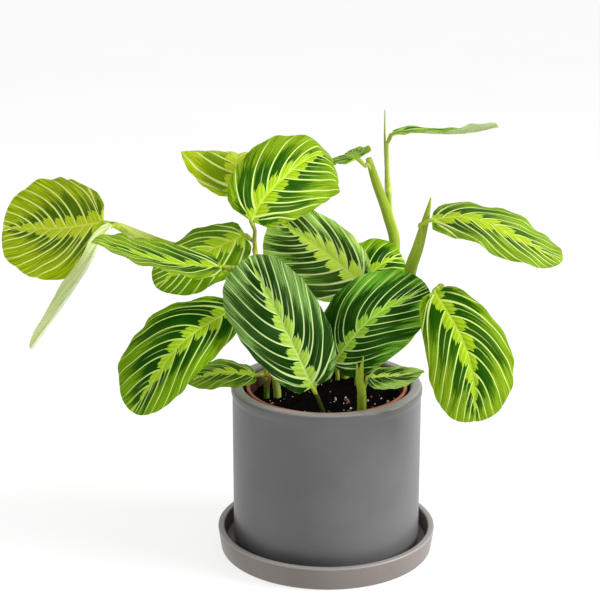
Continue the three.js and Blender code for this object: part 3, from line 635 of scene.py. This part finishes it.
def blade_side(body, blade, side, dice, shared):
    """Both faces of one side of the blade and the strip round its margin."""
    columns, edges = vein_lanes(blade, side, dice)
    widths = lane_widths(blade, columns, edges, side)
    lane_of = np.searchsorted(edges, np.arange(len(columns) - 1), side="right") - 1
    sheets, x, q = blade_sheets(blade, columns, edges, side, dice.random())
    rim = len(ROWS) - 1
    last = len(columns) - 1
    numbers = {}

    def corner(i, j, face):
        """A point's number; those on the midrib belong to both sides, and each end has one a face."""
        if i == 0 or (j == 0 and columns[i] <= 0):
            key = ("base", face)
        elif i == last:
            key = ("tip", face)
        else:
            key = (i, j, face) if j else (i, face)
        store = shared if len(key) == 2 else numbers
        if key not in store:
            store[key] = body.add_points([sheets[face][i, j]])
        return store[key]

    for i in range(last):
        lane = lane_of[i]
        start, stop, reach = lane_part(i, edges, lane)
        spots = (start, start, stop, stop)
        number = lane + pick((0, LANES_A_SIDE), side) + LANES_A_LEAF * int(blade.name[-2:])
        chance = blade.chance(number)
        for j in range(rim):
            ring = [(i, j), (i, j + 1), (i + 1, j + 1), (i + 1, j)]
            lanes = [(spot, ROWS[b], widths[lane][b] * reach) for spot, (_, b) in zip(spots, ring)]
            places = [(number, x[r], q[r]) for r in ring]
            for face, way in ((0, side), (1, -side)):
                corners = [corner(*r, face) for r in ring]
                body.add_face(corners[::way], face, lanes[::way], places[::way], chance)
        ring = [(i, rim, 0), (i, rim, 1), (i + 1, rim, 1), (i + 1, rim, 0)]
        corners = [corner(*r) for r in ring]
        lanes = [(spot, 1, RIM_WIDTH) for spot in spots]
        places = [(number, x[a, b], q[a, b]) for a, b, _ in ring]
        body.add_face(corners[::side], 0, lanes[::side], places[::side], chance)


def add_leaf(name, blade, finish):
    dice = random.Random(name)
    body = Body()
    shared = {}
    for side in (1, -1):
        blade_side(body, blade, side, dice, shared)
    under = blade.ups[0] * (-MIDRIB / 2)
    inner = blade.spine[0] + blade.tangents[0] * JOINT.inside + under
    path = [
        (*inner, JOINT.inner_radius),
        (*(blade.spine[0] + under), JOINT.radius),
        (*blade.joint_end(-JOINT.length / 2), JOINT.radius * JOINT.swell),
        (*blade.joint_end(JOINT.gap / 2), JOINT.radius),
    ]
    add_tube(body, path, slot=2, sides=JOINT.sides)
    faces = [finish["upper", blade.palette], finish["under", blade.palette], finish["joint"]]
    body.stand_for(name, faces, "leaf")


# Stems


def add_tube(body, path, slot, sides=STEM_SIDES, flat=1.0, seam=0.0):
    """A tube through points (x, y, z, radius) with rounded ends; flat squeezes it front to back."""
    count = (len(path) - 1) * STEM_STEPS
    line = curve_points(path, count)
    centres = line[:, :3]
    radii = np.maximum(line[:, 3], LEAST_RADIUS)
    tangents = unit(np.gradient(centres, axis=0))
    run = run_along(centres)
    angles = np.arange(sides) * 2 * math.pi / sides
    shape = 1 + seam * np.exp(-((angles - SEAM.angle) / SEAM.width) ** 2)
    side = np.array(STEM_SIDE)
    rings = []
    for i in range(count + 1):
        side = square_to(side, tangents[i])
        back = np.cross(tangents[i], side)
        ring = centres[i] + radii[i] * (np.outer(np.cos(angles) * shape, side)
                                        + np.outer(np.sin(angles) * shape * flat, back))
        rings.append(body.add_ring(ring))
    body.add_rings(rings, sides, slot, lambda i, j: (j / sides, run[i] / run[-1], radii[i]),
                   lambda i, j: (run[i], 0, 0))
    for i, way in ((0, -1), (count, 1)):
        middle = body.add_points([centres[i] + tangents[i] * radii[i] * (END_BULGE * way)])
        for j in range(sides):
            pair = [rings[i][0] + j, rings[i][0] + (j + 1) % sides]
            body.add_face([*pair[::way], middle], slot, [(j / sides, max(way, 0), radii[0])] * 3)


def add_shoot(name, branches, blades, finish):
    """A stem with its side stems, sheaths and leaf stalks."""
    body = Body()
    for kind, path in branches:
        if kind == "node":
            add_tube(body, path, slot=2)
        elif kind in blades:
            ends = [blades[kind].joint_end(gap) for gap in (JOINT.gap + STRAIGHT_END, JOINT.gap / 2)]
            add_tube(body, path + [(*end, STALK_RADIUS) for end in ends], slot=1)
        else:
            add_tube(body, path, slot=0, flat=FLATNESS[kind], seam=SEAM.height)
    stem, stalk = SHOOT_LOOKS.get(name, SHOOT_USUAL)
    body.stand_for(name, [finish[stem], finish[stalk], finish["stem_node"]], "stem")


# Pots and soil


def edge(radius, z, size, start, end, steps):
    """A round edge of an outline, in the corner at radius and z, from one angle to another in degrees."""
    angles = np.radians(np.linspace(start, end, steps + 1))
    middle = math.radians((start + end) / 2)
    radius -= math.copysign(size, math.cos(middle))
    z -= math.copysign(size, math.sin(middle))
    return [(radius + size * math.cos(a), z + size * math.sin(a)) for a in angles]


def add_turned(node, outline, material):
    """A round piece from its closed outline of (radius, z); a point on the axis closes it there."""
    body = Body()
    rings = []
    for r, z in outline:
        rings.append(body.add_ring([(x, y, z) for x, y in circle(r, ROUND_SIDES if r else 1)]))
    if outline[0][0] > 0:
        outline = [*outline, outline[0]]
        rings.append(rings[0])
    runs = run_along(np.array(outline))
    body.add_rings(rings, ROUND_SIDES, lane=lambda i, j: (j / ROUND_SIDES, runs[i], outline[i][1]))
    body.stand_for(node, [material], "pot")


def add_saucer(finish):
    s = SAUCER
    inner = s.rim - s.wall
    outline = [
        (0, 0),
        (s.foot - 1, 0),
        *edge(s.foot + s.foot_round, 0, s.foot_round, -70, -10, 6),
        *edge(s.rim, s.height, s.rim_round, 0, 90, 5),
        *edge(inner, s.height, s.lip_round, 90, 175, 6),
        *edge(inner - s.floor_edge, s.floor, s.floor_round, 0, -90, 6),
        (0, s.floor),
    ]
    add_turned("saucer", outline, finish["saucer"])


def add_pot(finish):
    p = POT
    shoulder = p.height - p.band
    rises = [i / BAND_STEPS for i in range(BAND_STEPS + 1)]
    band = [(0.5 - 0.5 * math.cos(math.pi * rise), rise) for rise in rises]
    outline = [
        (p.drain, 0),
        (p.foot - 2, 0),
        *edge(p.wall, 0, p.wall - p.foot, -80, 0, 12),
        *[(p.wall, z) for z in (*WALL_RINGS, shoulder - 1)],
        *[(p.wall + (p.rim - p.wall) * out, shoulder + p.band_edge * rise) for out, rise in band],
        *edge(p.rim, p.height, p.lip_round, 0, 90, 8),
        *edge(p.inner, p.height, p.lip_round, 90, 180, 8),
        *edge(p.inner, p.floor, p.floor_round, 0, -90, 6),
        (p.drain, p.floor),
    ]
    add_turned("ceramic_pot", [(r, z + POT_FOOT_Z) for r, z in outline], finish["pot"])


def nursery_radius(z):
    """The nursery pot's outer wall radius at a height, under its lip."""
    part = (z - NURSERY_FOOT_Z) / (NURSERY_RIM_Z - NURSERY_FOOT_Z)
    return NURSERY.foot + part * (NURSERY.lip - NURSERY.lip_step - NURSERY.foot)


def add_nursery_pot(finish):
    n = NURSERY
    rim = NURSERY_RIM_Z
    foot = NURSERY_FOOT_Z
    floor = foot + n.wall
    under = rim - n.lip_height
    inner = nursery_radius(rim) - n.wall + n.mouth
    out, up = n.lip_edge
    outline = [
        (0, foot),
        *edge(n.foot, foot, n.foot_round, -90, 0, 4),
        (nursery_radius(under), under),
        (n.lip - out, under),
        (n.lip, under + up),
        *edge(n.lip, rim, n.lip_round, 0, 90, 5),
        *edge(inner, rim, n.mouth_round, 90, 180, 4),
        (nursery_radius(under) - n.wall, under),
        (nursery_radius(floor) - n.wall, floor),
        (0, floor),
    ]
    add_turned("nursery_pot", outline, finish["terracotta"])


def soil_height(x, y):
    """The height of the crumbly soil at a place, in millimetres."""
    hills = noise.noise(Vector((x * HILL_SCALE, y * HILL_SCALE, HILL_SEED)))
    crumbs = 0
    for size, share in CRUMBS:
        near = noise.voronoi(Vector((x / size, y / size, share * CRUMB_SEED)))[0]
        crumbs += share * max(0, 1 - near[0] * CRUMB_STEEPNESS)
    return SOIL_Z + hills + CRUMB_HEIGHT * (crumbs - CRUMB_MEAN)


def add_soil(finish):
    body = Body()
    clear = NURSERY.wall + SADDLE_GAP
    reach = nursery_radius(SOIL_Z) - clear
    bottom = NURSERY_FOOT_Z + clear
    rings = []
    for i in range(SOIL_RINGS + 1):
        ring = circle(reach * i / SOIL_RINGS, SOIL_SIDES if i else 1, 0.5 * (i % 2))
        rings.append(body.add_ring([(x, y, soil_height(x, y)) for x, y in ring]))
    for radius, count in ((nursery_radius(bottom) - clear, SOIL_SIDES), (0, 1)):
        rings.append(body.add_ring([(x, y, bottom) for x, y in circle(radius, count)]))
    body.add_rings(rings, SOIL_SIDES, flip=True)
    body.stand_for("soil", [finish["soil"]], "soil")


def lump(body, x, y, above, sizes, turn, dice, rough=0.25, rings=6, sides=9):
    """A small uneven lump on the soil: a round body pushed in and out by noise."""
    centre = Vector((x, y, soil_height(x, y) + above))
    seed = Vector((dice.random() * 90, 0, 0))
    rows = []
    for i in range(rings + 1):
        tilt = math.pi * i / rings
        row = []
        for j in range(1 if i in (0, rings) else sides):
            a = 2 * math.pi * j / sides
            way = Vector((math.sin(tilt) * math.cos(a), math.sin(tilt) * math.sin(a), math.cos(tilt)))
            point = way * Vector(sizes) * (1 + rough * noise.noise(way * LUMP_SCALE + seed) * 2)
            point.rotate(turn)
            row.append(point + centre)
        rows.append(body.add_ring(row))
    body.add_rings(rows, sides, chance=(dice.random(), dice.random(), 0), flip=True)


def scatter(dice):
    """A random place on the soil."""
    reach = nursery_radius(SOIL_Z) - BITS_EDGE
    r, a = reach * math.sqrt(dice.random()), dice.random() * 2 * math.pi
    return r * math.cos(a), r * math.sin(a)


def finish_bits(body, name, material, sharp):
    bits = body.piece(name, [material], sharp)
    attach(bits, "root")


def add_perlite(dice, finish):
    body = Body()
    for _ in range(PERLITE.count):
        x, y = scatter(dice)
        size = PERLITE.least + PERLITE.more * dice.random() ** 3
        turn = Euler([dice.random() * 3 for _ in range(3)])
        sizes = (size * (0.8 + 0.5 * dice.random()), size, size * 0.8)
        lump(body, x, y, size * PERLITE.above, sizes, turn, dice)
    finish_bits(body, "perlite_grains", finish["perlite"], "grain")


def add_chips(dice, finish):
    body = Body()
    places = [BIG_CHIP]
    for _ in range(CHIPS.count):
        places.append((*scatter(dice), CHIPS.least + CHIPS.more * dice.random()))
    for x, y, size in places:
        turn = Euler((0.5 * dice.random() - 0.25, 0.6 * dice.random() - 0.3, dice.random() * 3))
        sizes = (size, size * CHIPS.width, size * CHIPS.height)
        lump(body, x, y, size * CHIPS.above, sizes, turn, dice, rough=0.4, rings=8, sides=10)
    finish_bits(body, "bark_chips", finish["bark"], "chip")


# Materials


def colour(code):
    """A linear colour from the usual six-figure code."""
    parts = [int(code[i:i + 2], 16) / 255 for i in (1, 3, 5)]
    return tuple(p / 12.92 if p <= 0.04045 else ((p + 0.055) / 1.055) ** 2.4 for p in parts) + (1,)


def math_sign(operation):
    """A sign or call of Value that adds one math node."""
    def apply(self, *others):
        return self.paint.node("Math", self, *others, operation=operation)
    return apply


class Value:
    """What a material works out at each place, for use in plain sums."""

    __add__ = math_sign("ADD")
    __sub__ = math_sign("SUBTRACT")
    __mul__ = math_sign("MULTIPLY")
    __abs__ = math_sign("ABSOLUTE")
    least = math_sign("MINIMUM")
    fraction = math_sign("FRACT")

    def __init__(self, paint, socket):
        self.paint = paint
        self.socket = socket

    def __rsub__(self, other):
        return self.paint.node("Math", other, self, operation="SUBTRACT")

    def step(self, start, end, low=0, high=1):
        """Low before start, high after end, and a smooth rise between them."""
        settings = dict(interpolation_type="SMOOTHSTEP")
        return self.paint.node("MapRange", self, start, end, low, high, **settings)


class Paint:
    """One material: its nodes, and its colour as a base with coats over it."""

    def __init__(self, name, base):
        self.base = base
        self.material = bpy.data.materials.new(name)
        self.material.use_nodes = True
        self.tree = self.material.node_tree
        self.tree.nodes.clear()
        self.place = Value(self, self.new("TexCoord").outputs["Object"])

    def new(self, kind):
        return self.tree.nodes.new(f"ShaderNode{kind}")

    def join(self, value, socket):
        """A worked-out value is linked; a number or a colour code is set on the socket itself."""
        if isinstance(value, Value):
            self.tree.links.new(value.socket, socket)
        else:
            socket.default_value = colour(value) if isinstance(value, str) else value

    def fill(self, node, **values):
        for key, value in values.items():
            self.join(value, node.inputs[key.replace("_", " ")])

    def node(self, kind, *values, **settings):
        """A new node's first output, with values on its inputs in their order."""
        node = self.new(kind)
        for key, setting in settings.items():
            setattr(node, key, setting)
        for value, socket in zip(values, node.inputs):
            self.join(value, socket)
        return Value(self, node.outputs[0])

    def mix(self, share, first, second):
        node = self.new("Mix")
        node.data_type = "RGBA"
        for value, index in ((share, 0), (first, 6), (second, 7)):
            self.join(value, node.inputs[index])
        return Value(self, node.outputs[2])

    def coat(self, share, tone):
        self.base = self.mix(share, self.base, tone)

    def corner(self, name):
        """The three numbers that the mesh holds at its corners under this name."""
        source = self.new("Attribute")
        source.attribute_name = name
        split = self.new("SeparateXYZ")
        self.tree.links.new(source.outputs["Vector"], split.inputs[0])
        return [Value(self, socket) for socket in split.outputs]

    def noise(self, scale, detail=2, roughness=0.5, where=None):
        node = self.new("TexNoise")
        self.fill(node, Vector=where or self.place, Scale=scale, Detail=detail, Roughness=roughness)
        return Value(self, node.outputs["Fac"])

    def fibres(self, across, along, detail=2, roughness=0.5):
        """Noise drawn out into streaks, by how fast it changes across and along them."""
        return self.noise(1, detail, roughness, self.node("CombineXYZ", across, along))

    def bump(self, height, strength, distance=0.0004):
        node = self.new("Bump")
        self.fill(node, Strength=strength, Distance=distance, Height=height)
        return Value(self, node.outputs[0])

    def finish(self, roughness, gloss, **more):
        shader = self.new("BsdfPrincipled")
        self.fill(shader, Base_Color=self.base, Roughness=roughness, Specular_IOR_Level=gloss, **more)
        output = self.new("OutputMaterial")
        self.tree.links.new(shader.outputs[0], output.inputs[0])
        return self.material


class LeafPaint(Paint):
    """What both faces of a leaf share: where a place is among the veins, and the lines themselves."""

    def __init__(self, face, name, palette):
        self.tone = Tones(*palette)
        super().__init__(f"leaf_{face}_{name}", getattr(self.tone, BASE_OF[face]))
        self.across, self.out, width = self.corner("lane")
        number, self.along, self.reach = self.corner("place")
        self.luck, self.second, self.size = self.corner("chance")
        lanes = number + self.across
        self.streaks = self.fibres(lanes * 9, self.out * 1.6, 3, 0.65)
        self.fine = self.fibres(lanes * 15, self.out * 2.4)
        half = (self.out.step(0, 1, 0.58, 0.3) * self.size).least(width * 0.12)
        near = self.across.least(1 - self.across) * width
        self.veins = near.step(half * 1.3, half * 0.6) * self.out.step(0.88, 1, 1, 0.45)
        self.midrib = self.reach.step(self.along.step(0, 1, 1, 0.4), self.along.step(0, 1, 0.5, 0.15))
        apart = abs(self.across - (self.second * 0.2 + 0.4)) * width
        shown = self.luck.step(0.35, 0.4) * self.out.step(0.08, 0.14)
        self.thin = apart.step(half * 0.8, half * 0.3) * shown * self.out.step(0.75, 0.45)
        self.tooth = (self.across * TEETH + self.second).fraction()
        self.veinlets = (0.5 - abs(self.tooth - 0.5)).step(0.3, 0.1)

    def feather_edge(self):
        """How far out from the midrib the lime feather reaches: in each lane a toothed lobe."""
        reach = self.along.step(0.4, 1, 6.4, 0.4) * self.size * self.luck.step(0, 1, 0.84, 1.16)
        shape = 1 - self.across.step(0.6, 0.66, 0, 0.3) - self.across.step(0.76, 0.94, 0, 0.55)
        shape = shape + (self.tooth - 0.55) * 0.24
        return reach * shape + (self.streaks - 0.5)

    def ground(self, patch_ends):
        """The green outside the feather: dark patches that fade in streaks, and a lighter margin."""
        tone = self.tone
        brush = self.streaks - 0.5
        tongue = self.across * (1 - self.across) * 0.5
        end = self.second.step(0, 1, *patch_ends) + tongue + brush * 1.1 + (self.fine - 0.5) * 0.8
        patch = self.out.step(end + 0.05, end - 0.05)
        # The margin coat: the leaf's own paler margin; in the dark palette its grey-green tone is also a
        # painted sheen
        self.coat((self.out + brush * 0.6).step(0.5, 0.92), tone.margin)
        self.coat(self.fine.step(0.5, 0.56) * self.out.step(0.2, 0.6, 0.36, 0.8), tone.streak)
        self.coat(self.fine.step(0.48, 0.42) * 0.6, tone.field)
        self.coat(patch * 0.94, self.mix(self.streaks.step(0.45, 0.75, 0, 0.3), tone.dark, tone.field))
        self.coat(self.thin * 0.6, tone.vein)

    def feather(self, inside):
        """The lime feather with its veinlets, a shaded side to each tooth and a paler rim."""
        tone = self.tone
        lime = self.mix(self.fine.step(0.35, 0.7, 0.22, 0), tone.lime, tone.margin)
        lime = self.mix(self.veinlets * 0.45, lime, tone.rib)
        lime = self.mix(self.tooth.step(0.85, 0.35) * 0.16, lime, tone.margin)
        return self.mix(inside.step(0.7, 0.2) * 0.4, lime, tone.rib)


def upper_material(name, palette):
    """A leaf's upper face: the green ground, the feather on it, and pale veins over both."""
    leaf = LeafPaint("upper", name, palette)
    tone = leaf.tone
    leaf.ground(PATCH_ENDS.get(name, PATCH_USUAL))
    inside = leaf.feather_edge() - leaf.reach
    lime = inside.step(-0.15, 0.15)
    leaf.coat(lime, leaf.feather(inside))
    leaf.coat(leaf.veins, leaf.mix(lime, tone.vein, tone.rib))
    leaf.coat(leaf.midrib * 0.9, tone.rib)
    leaf.coat(leaf.noise(28, 3).step(0.4, 0.75, 0, 0.14), tone.margin)
    height = leaf.fine * 0.5 + leaf.streaks - leaf.veins * 0.5
    return leaf.finish(leaf.streaks.step(0.2, 0.9, 0.44, 0.56), LEAF_GLOSS, Normal=leaf.bump(height, 0.3))


def under_material(name, palette):
    """A leaf's underside: pale grey-green with raised pale veins."""
    leaf = LeafPaint("under", name, palette)
    leaf.coat(leaf.streaks.step(0.3, 0.7, 0, 0.45), leaf.tone.margin)
    for share in (leaf.fine.step(0.45, 0.7) * 0.3, leaf.veins * 0.55, leaf.midrib * 0.6):
        leaf.coat(share, leaf.tone.vein)
    return leaf.finish(0.55, LEAF_GLOSS, Normal=leaf.bump(leaf.fine + leaf.veins * 1.5, 0.3))


def stem_material(name, main, second, foot, end):
    """A stem or leaf stalk: fine lengthwise fibres and blotches in a paler or browner second tone, and a
    darker foot.
    """
    paint = Paint(name, main)
    around, along, _ = paint.corner("lane")
    fibres = paint.fibres(around * 26, paint.corner("place")[0] * 0.05, 3, 0.6)
    paint.coat(fibres.step(0.35, 0.7), second)
    paint.coat(paint.noise(60).step(0.45, 0.75, 0, 0.5), second)
    paint.coat(along.step(0.3, 0, 0, 0.7), foot)
    paint.coat(along.step(0.97, 1, 0, 0.8), end)
    return paint.finish(0.5, STEM_GLOSS, Normal=paint.bump(fibres, 0.35, 0.0003))


def joint_material(main, second, by_leaf):
    paint = Paint("leaf_joint", main)
    clouds = paint.noise(220, 3)
    paint.coat(clouds.step(0.35, 0.7), second)
    paint.coat(paint.corner("lane")[1].step(0.55, 0.15), by_leaf)
    return paint.finish(0.5, STEM_GLOSS, Normal=paint.bump(clouds, 0.2, 0.0003))


def ceramic_material(name, main, light, dark, rim_z):
    """Satin glaze with faint clouds, fine speckle and a painted highlight on the rim top, where it catches
    the light.
    """
    paint = Paint(name, main)
    clouds = paint.noise(14, 4, 0.55)
    speckle = paint.noise(900, 2, 0.6)
    paint.coat(clouds.step(0.3, 0.7), light)
    paint.coat(speckle.step(0.6, 0.75) * 0.35, dark)
    paint.coat(speckle.step(0.42, 0.3) * 0.25, light)
    # Painted highlight on the rim top, where it catches the light
    paint.coat(paint.corner("lane")[2].step(rim_z - 1.6, rim_z - 0.2, 0, 0.7), RIM_HIGHLIGHT_TONE)
    normal = paint.bump(clouds * 0.4 + speckle * 0.15, 0.25, 0.0006)
    return paint.finish(clouds.step(0.3, 0.7, 0.34, 0.44), GLAZE_GLOSS, Normal=normal)


def terracotta_material(main, second, dust_tone, stain_tone):
    """Orange-brown plastic, dusty, and stained by the soil inside below its rim."""
    paint = Paint("nursery_plastic", main)
    dust = paint.noise(700, 3, 0.7)
    _, run, height = paint.corner("lane")
    paint.coat(paint.noise(120, 3).step(0.3, 0.7), second)
    paint.coat(dust.step(0.62, 0.72, 0, 0.6), dust_tone)
    inner = run.step(NURSERY_LIP_RUN, NURSERY_LIP_RUN + 1)
    stain = inner * (height + dust * 2).step(NURSERY_RIM_Z + 0.4, NURSERY_RIM_Z - 1.2)
    paint.coat(stain * 0.92, stain_tone)
    return paint.finish(0.5, PLASTIC_GLOSS, Normal=paint.bump(dust, 0.2, 0.0003))


def soil_material(main, second, cloud_tone, crumb_tone):
    paint = Paint("potting_soil", main)
    crumbs = paint.noise(420, 5, 0.7)
    paint.coat(crumbs.step(0.4, 0.7), second)
    paint.coat(paint.noise(70, 3).step(0.5, 0.7, 0, 0.5), cloud_tone)
    paint.coat(crumbs.step(0.68, 0.76, 0, 0.6), crumb_tone)
    return paint.finish(0.95, SOIL_GLOSS, Normal=paint.bump(crumbs, 0.8, 0.0012))


def grain_material(name, low, high):
    paint = Paint(name, low)
    spots = paint.noise(900, 3, 0.7)
    paint.coat((spots + paint.corner("chance")[0] * 0.4).step(0.4, 0.9), high)
    return paint.finish(0.8, GRAIN_GLOSS, Normal=paint.bump(spots, 0.5))


def make_finishes():
    finish = {}
    for name, palette in PALETTES.items():
        finish["upper", name] = upper_material(name, palette)
        finish["under", name] = under_material(name, palette)
    finish["joint"] = joint_material(*JOINT_TONES)
    for name, codes in STEM_COLOURS.items():
        finish[name] = stem_material(name, *codes)
    finish["pot"] = ceramic_material("pot_glaze", *POT_TONES, POT.height + POT_FOOT_Z)
    finish["saucer"] = ceramic_material("saucer_glaze", *SAUCER_TONES, SAUCER.height)
    finish["terracotta"] = terracotta_material(*PLASTIC_TONES)
    finish["soil"] = soil_material(*SOIL_TONES)
    finish["perlite"] = grain_material("perlite", *PERLITE_TONES)
    finish["bark"] = grain_material("bark", *BARK_TONES)
    return finish


# Stage, light and camera


def add_stage():
    """A pale table top; the picture's background runs on behind it."""
    mesh = bpy.data.meshes.new("table_top")
    half = FLOOR_HALF * MM
    corners = [(-half, -half, 0), (half, -half, 0), (half, half, 0), (-half, half, 0)]
    mesh.from_pydata(corners, [], [(0, 1, 2, 3)])
    paint = Paint("table_white", FLOOR_TONES[0])
    paint.coat(paint.noise(2).step(0.3, 0.7), FLOOR_TONES[1])
    mesh.materials.append(paint.finish(0.9, 0, Emission_Color="#ffffff", Emission_Strength=FLOOR_GLOW))
    show("table_top", mesh)


def add_area_light(name, place, target, size, power):
    light = bpy.data.lights.new(name, "AREA")
    light.shape = "DISK"
    light.size = size * MM
    light.energy = power
    lamp = show(name, light)
    lamp.location = Vector(place) * MM
    lamp.rotation_euler = (Vector(target) - Vector(place)).to_track_quat("-Z", "Y").to_euler()


def add_light():
    world = bpy.data.worlds.new("studio")
    world.use_nodes = True
    back = world.node_tree.nodes["Background"]
    back.inputs["Color"].default_value = (1, 1, 1, 1)
    back.inputs["Strength"].default_value = WORLD_STRENGTH
    bpy.context.scene.world = world
    add_area_light("key", **KEY)
    add_area_light("fill", **FILL)


def add_camera():
    camera = bpy.data.cameras.new("photo_view")
    camera.sensor_width = SENSOR_MM
    camera.lens = CAMERA_FOCAL_PX * SENSOR_MM / PHOTO_SIDE
    camera.clip_start, camera.clip_end = CAMERA_CLIP
    view = show("photo_view", camera)
    view.location = Vector(CAMERA_PLACE) * MM
    view.rotation_euler = (math.radians(90 - CAMERA_PITCH), 0, 0)
    bpy.context.scene.camera = view


def main():
    bpy.context.scene.view_settings.view_transform = "Standard"
    add_camera()
    add_light()
    add_stage()
    finish = make_finishes()
    add_saucer(finish)
    add_pot(finish)
    add_nursery_pot(finish)
    add_soil(finish)
    dice = random.Random(BITS_SEED)
    add_perlite(dice, finish)
    add_chips(dice, finish)
    blades = {name: Blade(name=name, **facts) for name, facts in LEAVES.items()}
    for name, blade in blades.items():
        add_leaf(name, blade, finish)
    for name, branches in SHOOTS.items():
        add_shoot(name, branches, blades, finish)


main()
